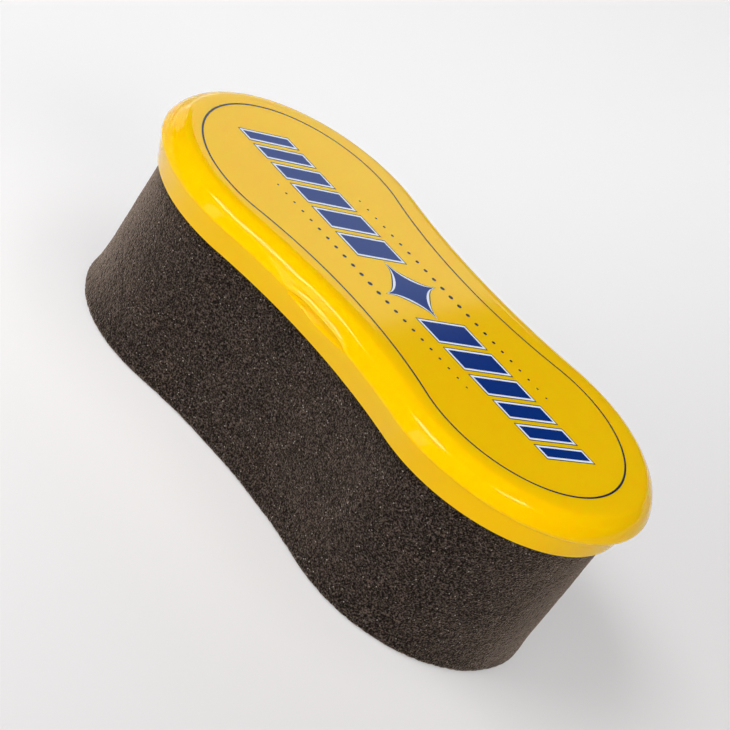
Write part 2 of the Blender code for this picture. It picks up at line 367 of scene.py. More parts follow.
@dataclass(frozen=True)
class CellFoam:
    """Open-cell foam: pale threads with painted shade in the pores between them, and a few pale specks
    painted in as highlights.
    """

    name: str
    pore_shade: Colour
    thread: Colour
    warm: Colour
    painted_glint_colour: Colour
    cell: float = 0.47 * MM
    painted_glint_cell_share: float = 0.7
    wander_size: float = 1.1 * MM
    wander: float = 0.3 * MM
    grain_size: float = 0.31 * MM
    cloud_size: float = 5.5 * MM
    warm_size: float = 9 * MM
    depth: float = 0.2 * MM

    def make(self) -> bpy.types.Material:
        """Return the material."""
        s = Surface(self.name)
        drift = s.noise(s.place, self.wander_size, 1.0).sibling("Color")
        place = s.vector("ADD", s.place, s.vector("SCALE", drift, None, self.wander))
        # Painted shade: the middle of each cell, where a pore opens, is blended towards a near-black colour;
        # the threads between the pores keep the foam's own colour, varied by random grain and cloud.
        large = s.cells(place, self.cell).eased(0.05, 0.95)
        grain = s.noise(s.place, self.grain_size, 1.0, 0.6) - 0.5
        cloud = s.noise(s.place, self.cloud_size, 3.0, 0.6) - 0.5
        light = (0.38 + (large - 0.5) * 0.7 + grain * 2.3 + cloud * 0.25).most(0.0).least(1.0)
        warmth = s.noise(s.place, self.warm_size).eased(0.42, 0.7)
        threaded = s.blend(warmth * 0.5, self.thread, self.warm)
        # Painted highlights: a few small cells are blended towards a pale colour as sparkling specks on the
        # threads; the lower roughness and small bump that go with them are real.
        small = self.cell * self.painted_glint_cell_share
        lucky = s.add("ShaderNodeSeparateColor", None, {"Color": s.cells(place, small, "Color")}, "Red")
        core = 1.0 - s.cells(place, small).eased(0.15, 0.5)
        painted_glints = lucky.eased(0.95, 1.0) * core
        s.dress(
            Base_Color=s.blend(painted_glints * 0.65, s.blend(light ** 1.8, self.pore_shade, threaded), self.painted_glint_colour),
            Roughness=0.92 - painted_glints * 0.4,
            Normal=s.relief(light * 0.8 + painted_glints * 0.4, self.depth, 0.7),
            Specular_IOR_Level=0.05,
            Sheen_Weight=0.58,
            Sheen_Roughness=0.38,
            Sheen_Tint=(1.0, 0.79, 0.64, 1.0),
        )
        return s.material


@dataclass(frozen=True)
class Felt:
    """Pressed felt with crossing fibres and oily patches."""

    name: str
    colour: Colour
    oiled: Colour
    fibre_size_x: float = 0.28 * MM
    fibre_size_y: float = 0.30 * MM
    fibre_depth: float = 0.15 * MM
    oil_size: float = 12 * MM

    def make(self) -> bpy.types.Material:
        """Return the material."""
        s = Surface(self.name)
        along = s.noise(s.moved((0.12, 1.0, 1.0)), self.fibre_size_x, 3.0, 0.65)
        across = s.noise(s.moved((1.0, 0.10, 1.0)), self.fibre_size_y, 3.0, 0.65)
        fibres = along.most(across)
        oil = s.noise(s.place, self.oil_size).eased(0.4, 0.65)
        base = s.blend(oil * 0.7, self.colour, self.oiled)
        s.dress(
            Base_Color=s.blend(fibres.eased(0.75, 0.35) * 0.35, base, self.oiled),
            Roughness=0.95 - oil * 0.25,
            Normal=s.relief(fibres, self.fibre_depth, 0.8),
            Sheen_Weight=0.25,
        )
        return s.material


@dataclass(frozen=True)
class MattPlastic:
    """Satin plastic with a fine spark-eroded grain."""

    name: str
    colour: Colour
    light: Colour
    grain_size: float = 0.35 * MM
    grain_depth: float = 0.03 * MM
    flow_size: float = 14 * MM

    def make(self) -> bpy.types.Material:
        """Return the material."""
        s = Surface(self.name)
        grain = s.noise(s.place, self.grain_size, 3.0, 0.6)
        flow = s.noise(s.moved((0.4, 1.0, 1.0)), self.flow_size)
        s.dress(
            Base_Color=s.blend(flow.eased(0.35, 0.7) * 0.5 + grain * 0.2, self.colour, self.light),
            Roughness=0.42 + grain * 0.14,
            Normal=s.relief(grain, self.grain_depth, 0.6),
        )
        return s.material


@dataclass(frozen=True)
class Glue:
    """A rolled film of set glue with roller streaks and small bubbles."""

    name: str
    colour: Colour
    pale: Colour
    streak_size: float = 0.8 * MM
    bubble_size: float = 1.3 * MM
    depth: float = 0.05 * MM

    def make(self) -> bpy.types.Material:
        """Return the material."""
        s = Surface(self.name)
        streaks = s.noise(s.moved((0.08, 1.0, 1.0)), self.streak_size)
        bubbles = 1.0 - s.cells(s.place, self.bubble_size).eased(0.1, 0.22)
        s.dress(
            Base_Color=s.blend(streaks.eased(0.3, 0.7) * 0.6 + bubbles * 0.4, self.colour, self.pale),
            Roughness=0.34 + streaks * 0.2,
            Normal=s.relief(streaks + bubbles * 0.5, self.depth, 0.6),
        )
        return s.material


@dataclass(frozen=True)
class StudioPaper:
    """Pale seamless paper that reads as a plain bright ground, darkened along X by painted shade."""

    name: str
    colour: Colour
    shaded: Colour
    lift: float
    glow: tuple[float, float, float, float] = (0.99, 0.985, 0.99, 1.0)
    fibre: Colour = (0.6, 0.6, 0.6)
    tooth_size: float = 1.5 * MM
    shade_from: float = -0.10
    shade_to: float = 0.13

    def make(self) -> bpy.types.Material:
        """Return the material."""
        s = Surface(self.name)
        tooth = s.noise(s.place, self.tooth_size)
        # Painted shade: the paper's colour darkens towards the shaded colour along X, between shade_from and
        # shade_to.
        across = s.add("ShaderNodeSeparateXYZ", None, {0: s.place})
        shade = across.eased(self.shade_from, self.shade_to)
        s.dress(
            Base_Color=s.blend(tooth * 0.02, s.blend(shade, self.colour, self.shaded), self.fibre),
            Roughness=0.9,
            Specular_IOR_Level=0.15,
        )
        path = s.add("ShaderNodeLightPath", None, None, "Is Camera Ray")
        seen = (path + path.sibling("Is Glossy Ray") + path.sibling("Is Transmission Ray")).least(1.0)
        glow = s.add("ShaderNodeEmission", None, {"Color": self.glow, "Strength": seen * self.lift})
        both = s.add("ShaderNodeAddShader", None, {0: glow, 1: Signal(s, s.shader.outputs[0])})
        s.tree.links.new(both.socket, s.tree.nodes["Material Output"].inputs["Surface"])
        return s.material


YELLOW_PLASTIC = GlossPlastic("yellow_plastic_finish", (0.93, 0.552, 0.0), (0.90, 0.50, 0.0))
NAVY_INK = PrintInk("navy_ink", tone(24, 30, 66))
BLUE_INK = PrintInk("blue_ink", tone(0, 44, 122))
WHITE_INK = PrintInk("white_ink", tone(226, 232, 246), 0.30)
# Foam colours: near-black painted shade for the pores, the threads' own colour and its warmer tone, and a
# pale colour painted on as highlights.
CHARCOAL_FOAM = CellFoam(
    "foam_finish", tone(10, 6, 3), tone(91, 79, 71), tone(97, 82, 72), tone(222, 210, 196)
)
OILED_FELT = Felt("felt_finish", (0.74, 0.70, 0.60), (0.55, 0.49, 0.36))
PLATE_PLASTIC = MattPlastic("plate_plastic_finish", (0.25, 0.26, 0.27), (0.34, 0.35, 0.36))
AMBER_GLUE = Glue("glue_finish", (0.62, 0.48, 0.24), (0.78, 0.68, 0.46))
# The second colour is the painted shade that the paper darkens to along X.
PAPER = StudioPaper("studio_paper", (0.722, 0.712, 0.715), (0.45, 0.432, 0.425), 0.30)


@dataclass(frozen=True)
class WaistedOval:
    """Two round ends of one radius, joined by a hollow arc on each long side."""

    length: float
    width: float
    waist_width: float

    @property
    def end_radius(self) -> float:
        """Radius of both ends."""
        return self.width / 2

    @property
    def end_centre(self) -> float:
        """Distance of an end's centre from the middle."""
        return self.length / 2 - self.end_radius

    @property
    def waist_radius(self) -> float:
        """Radius of the hollow arcs."""
        half = self.waist_width / 2
        spread = self.end_centre ** 2 + half ** 2 - self.end_radius ** 2
        return spread / (2 * (self.end_radius - half))

    @property
    def waist_centre(self) -> float:
        """Distance of a hollow arc's centre from the middle line."""
        return self.waist_width / 2 + self.waist_radius

    def follow(self, walked: np.ndarray) -> tuple[np.ndarray, np.ndarray]:
        """Return the places at given distances along the outline, counter-clockwise.

        Args:
            walked: The distances, from 0 to the whole length.

        Returns:
            The points and the outward directions, each of shape (count, 2).
        """
        sweep = math.atan2(self.waist_centre, -self.end_centre)
        lean = sweep - math.pi
        side, hollow = self.end_centre, self.waist_centre
        arcs = (
            (side, 0.0, self.end_radius, -sweep, sweep),
            (0.0, hollow, self.waist_radius, lean, -math.pi - lean),
            (-side, 0.0, self.end_radius, math.pi - sweep, math.pi + sweep),
            (0.0, -hollow, self.waist_radius, math.pi + lean, -lean),
        )
        lengths = [abs(end - start) * radius for _, _, radius, start, end in arcs]
        marks = np.concatenate([[0.0], np.cumsum(lengths)])
        marks = marks * self.perimeter / marks[-1]
        points, outward = np.zeros((len(walked), 2)), np.zeros((len(walked), 2))
        for index, (x, y, radius, start, end) in enumerate(arcs):
            mine = (walked >= marks[index]) & (walked <= marks[index + 1])
            angle = start + (end - start) * (walked[mine] - marks[index]) / lengths[index]
            ray = np.stack([np.cos(angle), np.sin(angle)], 1)
            points[mine] = np.array([x, y]) + radius * ray
            outward[mine] = ray if end > start else -ray
        return points, outward

    @property
    def perimeter(self) -> float:
        """Length of the whole outline."""
        sweep = math.atan2(self.waist_centre, -self.end_centre)
        hollow = abs(2 * sweep - math.pi) * self.waist_radius
        return 2 * (2 * sweep * self.end_radius + hollow)

    def trace(self, count: int, focus: float = 0.0, gain: float = 1.0) -> tuple[np.ndarray, np.ndarray]:
        """Walk round the outline, with closer steps near the middle of its long sides where asked.

        Args:
            count: Number of points.
            focus: Half length of the part with closer steps.
            gain: How many times closer they stand there.

        Returns:
            The points and the outward directions, each of shape (count, 2).
        """
        fine = np.linspace(0.0, self.perimeter, TRACE_STEPS)
        weight = 1.0 + (gain - 1.0) * (np.abs(self.follow(fine)[0][:, 0]) < focus)
        spent = np.concatenate([[0.0], np.cumsum(0.5 * (weight[1:] + weight[:-1]) * np.diff(fine))])
        return self.follow(np.interp(np.arange(count) * spent[-1] / count, spent, fine))

    def loop(
        self,
        name: str,
        count: int,
        height: float = 0.0,
        centre: tuple[float, float] = (0.0, 0.0),
        focus: float = 0.0,
        gain: float = 1.0,
    ) -> bpy.types.Object:
        """Make the outline as a closed chain of edges that knows its outward directions.

        Args:
            name: The object's name.
            count: Number of points.
            height: The level that it lies at.
            centre: Where its middle lies.
            focus: Half length of the part with closer points.
            gain: How many times closer they stand there.

        Returns:
            The guide object.
        """
        points, outward = self.trace(count, focus, gain)
        mesh = bpy.data.meshes.new(name)
        places = np.c_[points + np.array(centre), np.full(count, height)]
        mesh.from_pydata(places.tolist(), [(i, (i + 1) % count) for i in range(count)], [])
        attribute = mesh.attributes.new("outward", "FLOAT_VECTOR", "POINT")
        attribute.data.foreach_set("vector", np.c_[outward, np.zeros(count)].ravel())
        return link(name, mesh)


CAP_OUTLINE = WaistedOval(127.2 * MM, 63.4 * MM, 56.0 * MM)
LINE_OUTLINE = WaistedOval(112.0 * MM, 47.58 * MM, 37.64 * MM)


def link(name: str, mesh: bpy.types.Mesh) -> bpy.types.Object:
    """Put a mesh into the scene as an object at the origin.

    Args:
        name: The object's name.
        mesh: Its mesh.

    Returns:
        The object.
    """
    made = bpy.data.objects.new(name, mesh)
    bpy.context.scene.collection.objects.link(made)
    return made


@dataclass(frozen=True)
class Station:
    """One point of a section: at the ends, along the waist and in the middle of a scoop."""

    inset: float
    level: float
    waist: Optional[tuple[float, float]] = None
    scoop: Optional[tuple[float, float]] = None
    fade: float = 3.0

    @property
    def plain(self) -> tuple[float, float, float]:
        """The point at the ends."""
        return self.inset, 0.0, self.level

    @property
    def waisted(self) -> tuple[float, float, float]:
        """The point along the waist."""
        inset, level = self.waist or (self.inset, self.level)
        return inset, 0.0, level

    @property
    def scooped(self) -> tuple[float, float, float]:
        """The point in the middle of the scoop."""
        inset, level = self.scoop or self.waist or (self.inset, self.level)
        return inset, 0.0, level


def section_object(name: str, stations: Sequence[Station]) -> bpy.types.Object:
    """Make a section as a chain of points that a loft reads.

    Args:
        name: The object's name.
        stations: The points of the section in order.

    Returns:
        The guide object.
    """
    mesh = bpy.data.meshes.new(name)
    count = len(stations)
    mesh.from_pydata([station.plain for station in stations], [(i, i + 1) for i in range(count - 1)], [])
    for label in ("waisted", "scooped"):
        places = [getattr(station, label) for station in stations]
        attribute = mesh.attributes.new(label, "FLOAT_VECTOR", "POINT")
        attribute.data.foreach_set("vector", [part for place in places for part in place])
    fade = mesh.attributes.new("fade", "FLOAT", "POINT")
    fade.data.foreach_set("value", [station.fade for station in stations])
    return link(name, mesh)


SOCKET_KINDS = {
    float: "NodeSocketFloat",
    int: "NodeSocketInt",
    bpy.types.Object: "NodeSocketObject",
    bpy.types.Material: "NodeSocketMaterial",
}


class Recipe(Sheet):
    """A Geometry Nodes tree with named inputs that is run once on a guide object."""

    def __init__(self, name: str, inputs: dict[str, Any]) -> None:
        """Start the tree.

        Args:
            name: The tree's name.
            inputs: Value of each named input. Material is the finish of the result.
        """
        super().__init__(bpy.data.node_groups.new(name, "GeometryNodeTree"))
        ports = self.tree.interface
        ports.new_socket(name="Geometry", in_out="INPUT", socket_type="NodeSocketGeometry")
        ports.new_socket(name="Geometry", in_out="OUTPUT", socket_type="NodeSocketGeometry")
        self.values = inputs
        self.identifiers: dict[str, str] = {}
        for label, value in inputs.items():
            kind = next(name for known, name in SOCKET_KINDS.items() if isinstance(value, known))
            made = ports.new_socket(name=label, in_out="INPUT", socket_type=kind)
            self.identifiers[label] = made.identifier
        self.source = self.tree.nodes.new("NodeGroupInput")

    def given(self, label: str) -> Signal:
        """Return a named input."""
        return Signal(self, find_port(self.source.outputs, label))

    def index(self) -> Signal:
        """Return the index of a point."""
        return self.add("GeometryNodeInputIndex")

    def position(self) -> Signal:
        """Return the place of a point."""
        return self.add("GeometryNodeInputPosition")

    def attribute(self, name: str, kind: str = "FLOAT") -> Signal:
        """Return an attribute by its name."""
        return self.add("GeometryNodeInputNamedAttribute", {"data_type": kind}, {"Name": name})

    def split(self, place: Signal) -> tuple[Signal, Signal, Signal]:
        """Return the three parts of a vector."""
        x = self.add("ShaderNodeSeparateXYZ", None, {0: place})
        return x, x.sibling("Y"), x.sibling("Z")

    def join(self, x: Number, y: Number, z: Number) -> Signal:
        """Return a vector from its parts."""
        return self.add("ShaderNodeCombineXYZ", None, {0: x, 1: y, 2: z})

    def read_at(self, geometry: Signal, value: Signal, index: Signal, kind: str) -> Signal:
        """Return a field's value at one point of a geometry."""
        sockets = {"Geometry": geometry, "Value": value, "Index": index}
        return self.add("GeometryNodeSampleIndex", {"data_type": kind}, sockets)

    def place_at(self, geometry: Signal, place: Signal) -> Signal:
        """Move the points of a geometry."""
        return self.add("GeometryNodeSetPosition", None, {"Geometry": geometry, "Position": place})

    def mingle(self, share: Signal, first: Signal, second: Signal) -> Signal:
        """Return the place between two places."""
        step = self.vector("SUBTRACT", second, first)
        return self.vector("ADD", first, self.vector("SCALE", step, None, share))

    def scatter(self, points: Signal, shape: Signal, scale: Any, turn: Any = (0.0, 0.0, 0.0)) -> Signal:
        """Put a shape on every point, scaled along the axes and turned."""
        sockets = {"Points": points, "Instance": shape, "Scale": scale, "Rotation": turn}
        return self.add("GeometryNodeInstanceOnPoints", None, sockets)

    def row(self, count: Signal) -> Signal:
        """Return a row of points that wait for their places."""
        sockets = {"Count": count, "Offset": (MM, 0.0, 0.0)}
        return self.add("GeometryNodeMeshLine", {"mode": "OFFSET"}, sockets)

    def serve(self, geometry: Signal) -> None:
        """End the tree: make instances real and give the finish."""
        real = self.add("GeometryNodeRealizeInstances", None, {"Geometry": geometry})
        sockets = {"Geometry": real, "Material": self.given("Material")}
        dressed = self.add("GeometryNodeSetMaterial", None, sockets)
        output = self.tree.nodes.new("NodeGroupOutput")
        self.tree.links.new(dressed.socket, output.inputs["Geometry"])

    def run(self, name: str, guide: Optional[bpy.types.Object] = None) -> bpy.types.Object:
        """Run the tree on a guide and keep the result as a plain object.

        Args:
            name: The new object's name.
            guide: The object that the tree starts from, which is removed. Without one it starts from nothing.

        Returns:
            The finished object.
        """
        if guide is None:
            guide = link(f"{name}_guide", bpy.data.meshes.new(f"{name}_guide"))
        modifier = guide.modifiers.new(self.tree.name, "NODES")
        modifier.node_group = self.tree
        for label, value in self.values.items():
            modifier[self.identifiers[label]] = value
        depsgraph = bpy.context.evaluated_depsgraph_get()
        mesh = bpy.data.meshes.new_from_object(guide.evaluated_get(depsgraph))
        guide.modifiers.remove(modifier)
        bpy.data.objects.remove(guide, do_unlink=True)
        mesh.name = name
        for label in [a.name for a in mesh.attributes if a.name in GUIDE_ATTRIBUTES]:
            mesh.attributes.remove(mesh.attributes[label])
        return link(name, mesh)


def close_and_shade(piece: bpy.types.Object, sharp_angle: float) -> None:
    """Fill open rims, turn all faces outwards and shade the piece smooth.

    Args:
        piece: The object.
        sharp_angle: Edges that turn more than this, in degrees, stay sharp.
    """
    mesh = piece.data
    bm = bmesh.new()
    bm.from_mesh(mesh)
    bmesh.ops.remove_doubles(bm, verts=bm.verts, dist=MERGE_DISTANCE)
    rims = [edge for edge in bm.edges if edge.is_boundary]
    if rims:
        bmesh.ops.holes_fill(bm, edges=rims, sides=0)
    bmesh.ops.recalc_face_normals(bm, faces=bm.faces)
    bm.to_mesh(mesh)
    bm.free()
    mesh.shade_smooth()
    mesh.set_sharp_from_angle(angle=math.radians(sharp_angle))


def give_finish(piece: bpy.types.Object, material: bpy.types.Material) -> None:
    """Put one material on the whole piece."""
    piece.data.materials.clear()
    piece.data.materials.append(material)
    piece.data.polygons.foreach_set("material_index", [0] * len(piece.data.polygons))


def settle(piece: bpy.types.Object, slot: str, *nodes: str) -> bpy.types.Object:
    """Let a finished piece ride on the body.

    Args:
        piece: The object.
        slot: The record's material slot. It is not used.
        *nodes: The nodes of the frame that it stands for.

    Returns:
        The same object.
    """
    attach(piece, BODY)
    if nodes:
        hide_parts(*nodes)
    LOG.info("%s: %d faces", piece.name, len(piece.data.polygons))
    return piece


def mould(
    recipe: Recipe,
    name: str,
    sharp_angle: float,
    guide: Optional[bpy.types.Object] = None,
    nodes: Sequence[str] = (),
) -> bpy.types.Object:
    """Make a piece of the cap, or ink on it, from its tree.

    Args:
        recipe: The tree.
        name: The piece's name.
        sharp_angle: Edges that turn more than this, in degrees, stay sharp.
        guide: The object that the tree starts from, if it needs one.
        nodes: The nodes of the frame that the piece stands for.

    Returns:
        The piece.
    """
    piece = recipe.run(name, guide)
    close_and_shade(piece, sharp_angle)
    return settle(piece, CAP_SLOT, *nodes)


def curve_round(inset: float, z: float, radius: float, start: float, end: float, steps: int) -> list[Station]:
    """Return stations on an arc, in degrees from 0 outwards to 90 up, without its first point."""
    angles = [math.radians(start + (end - start) * step / steps) for step in range(1, steps + 1)]
    return [Station(inset - radius * math.cos(angle), z + radius * math.sin(angle)) for angle in angles]


class Profile:
    """A line down the outside of the cap, drawn piece by piece."""

    def __init__(self, inset: float, level: float) -> None:
        """Start the line at a point."""
        self.points: list[tuple[float, float]] = []
        self.inset, self.level = inset, level

    def line(self, inset: float, level: float, steps: int) -> "Profile":
        """Go straight to a point.

        Args:
            inset: Its inset.
            level: Its height.
            steps: Number of points on the way.

        Returns:
            The profile.
        """
        start_inset, start_level = self.inset, self.level
        for step in range(1, steps + 1):
            self.inset = start_inset + (inset - start_inset) * step / steps
            self.level = start_level + (level - start_level) * step / steps
            self.points.append((self.inset, self.level))
        return self

    def bend(self, radius: float, start: float, end: float, steps: int) -> "Profile":
        """Go along an arc, down and inwards.

        Args:
            radius: The arc's radius.
            start: The line's lean at the beginning in degrees, 0 straight down and 90 level inwards.
            end: Its lean at the end.
            steps: Number of points on the way.

        Returns:
            The profile.
        """
        sign = 1.0 if end > start else -1.0
        first = math.radians(start)
        inset, level = self.inset, self.level
        for step in range(1, steps + 1):
            lean = math.radians(start + (end - start) * step / steps)
            self.inset = inset + sign * radius * (math.cos(first) - math.cos(lean))
            self.level = level - sign * radius * (math.sin(lean) - math.sin(first))
            self.points.append((self.inset, self.level))
        return self


@dataclass(frozen=True)
class Scoop:
    """A shallow finger scoop under the bead, in the middle of each long side."""

    half_length: float = 8.4 * MM
    rim_z: float = 40.15 * MM
    flare: float = 1.15 * MM
    flare_lean: float = 54.0
    hollow: float = 0.22 * MM
    hollow_from_z: float = 42.3 * MM
    hollow_fade: float = 1.3 * MM
    lip_round: float = 0.10 * MM
    dish_inset: float = 0.97 * MM
    dish_z: float = 39.5 * MM
    dish_radius: float = 2.3 * MM
    dish_from: float = 6.0
    dish_to: float = -40.0
    end_z: float = 38.75 * MM
    plain_drop: float = 0.6 * MM

    def shift_at(self, level: float) -> float:
        """Return how far inwards the surface stands at a height above the rim."""
        below = self.rim_z + self.flare * math.sin(math.radians(self.flare_lean)) - level
        lip = self.flare - math.sqrt(self.flare ** 2 - max(0.0, below) ** 2)
        share = min(1.0, max(0.0, (self.hollow_from_z - level) / self.hollow_fade))
        return self.hollow * share ** 2 * (3.0 - 2.0 * share) - lip


def loft_tree(recipe: Recipe) -> Signal:
    """Write the nodes that sweep a section round an outline, parallel to it at every inset.

    Args:
        recipe: The tree, whose guide is the outline, with inputs Columns, Rows, Section, Waist From, Waist To
            and Scoop Half Length.

    Returns:
        The geometry.
    """
    outline = recipe.given("Geometry")
    wanted = {"Object": recipe.given("Section")}
    section = recipe.add("GeometryNodeObjectInfo", {"transform_space": "ORIGINAL"}, wanted, "Geometry")
    columns, rows = recipe.given("Columns"), recipe.given("Rows")
    sizes = {"Size X": 1.0, "Size Y": 1.0, "Vertices X": columns + 1, "Vertices Y": rows}
    grid = recipe.add("GeometryNodeMeshGrid", None, sizes)
    number = recipe.index()
    column = recipe.maths("FLOOR", (number + 0.5) / rows)
    row = number - column * rows
    around = recipe.maths("MODULO", column, columns)
    base = recipe.read_at(outline, recipe.position(), around, "FLOAT_VECTOR")
    outward = recipe.read_at(outline, recipe.attribute("outward", "FLOAT_VECTOR"), around, "FLOAT_VECTOR")
    plain = recipe.read_at(section, recipe.position(), row, "FLOAT_VECTOR")
    waisted = recipe.read_at(section, recipe.attribute("waisted", "FLOAT_VECTOR"), row, "FLOAT_VECTOR")
    scooped = recipe.read_at(section, recipe.attribute("scooped", "FLOAT_VECTOR"), row, "FLOAT_VECTOR")
    fade = recipe.read_at(section, recipe.attribute("fade"), row, "FLOAT")
    x, _, _ = recipe.split(base)
    first, last = recipe.given("Waist From"), recipe.given("Waist To")
    narrow = 1.0 - x.eased(first, last)
    share = (abs(x) / recipe.given("Scoop Half Length")).least(1.0)
    side = recipe.mingle(narrow, plain, waisted)
    inset, _, level = recipe.split(recipe.mingle(1.0 - share ** fade, side, scooped))
    flat = recipe.vector("SUBTRACT", base, recipe.vector("SCALE", outward, None, inset))
    return recipe.place_at(grid, recipe.vector("ADD", flat, recipe.join(0.0, 0.0, level)))


@dataclass(frozen=True)
class CapPlan:
    """Sizes of the cap, from the top face down to the skirt's edge."""

    height: float = 43.5 * MM
    depth: float = 10.0 * MM
    shoulder_width: float = 6.4 * MM
    shoulder_drop: float = 3.4 * MM
    shoulder_turns: tuple[tuple[float, float, int], ...] = (
        (86.0, 1.65 * MM, 5),
        (80.0, 0.92 * MM, 4),
        (57.0, 1.20 * MM, 8),
        (52.0, 1.26 * MM, 5),
        (40.0, 0.76 * MM, 6),
        (30.0, 1.04 * MM, 6),
        (22.0, 1.20 * MM, 6),
    )
    bead_lean: float = 22.0
    bead_flat: float = 0.7 * MM
    bead_round: float = 0.8 * MM
    skirt_step: float = 2.2 * MM
    step_fillet: float = 0.35 * MM
    waist_bead_drop: float = 0.15 * MM
    waist_round: float = 0.85 * MM
    waist_draft: float = 21.0
    waist_from: float = 32 * MM
    waist_to: float = 62 * MM
    edge_round: float = 0.3 * MM
    top_wall: float = 2.0 * MM
    upper_wall: float = 2.0 * MM
    skirt_wall: float = 1.2 * MM
    ceiling_fillet: float = 0.6 * MM
    ledge_z: float = 36.2 * MM

    @property
    def cavity_inset(self) -> float:
        """Inset of the inner wall above the ledge."""
        return self.skirt_step + self.upper_wall

    @property
    def mouth_inset(self) -> float:
        """Inset of the inner wall inside the skirt."""
        return self.skirt_step + self.skirt_wall

    @property
    def ceiling_z(self) -> float:
        """Height of the ceiling."""
        return self.height - self.top_wall

    @property
    def step_z(self) -> float:
        """Height of the bead's underside."""
        return self.height - self.shoulder_drop - self.bead_flat - self.bead_round

    @property
    def edge_z(self) -> float:
        """Height of the skirt's edge."""
        return self.height - self.depth


# Rows of points round the bead, down the scoop's floor, down to the skirt's edge and round that edge
RIM_ROWS, FLOOR_ROWS, FOOT_ROWS, EDGE_ROWS = 16, 21, 8, 4
# Rows of the short parts between them
BEAD_FLAT_ROWS, FILLET_ROWS, DROP_ROWS, LIP_ROWS, CEILING_ROWS = 3, 5, 2, 3, 3
# How a scoop fades out along the waist: 1 is a straight slope, and more is a rounder hollow
ROUND_FADE, STRAIGHT_FADE = 3.0, 1.0


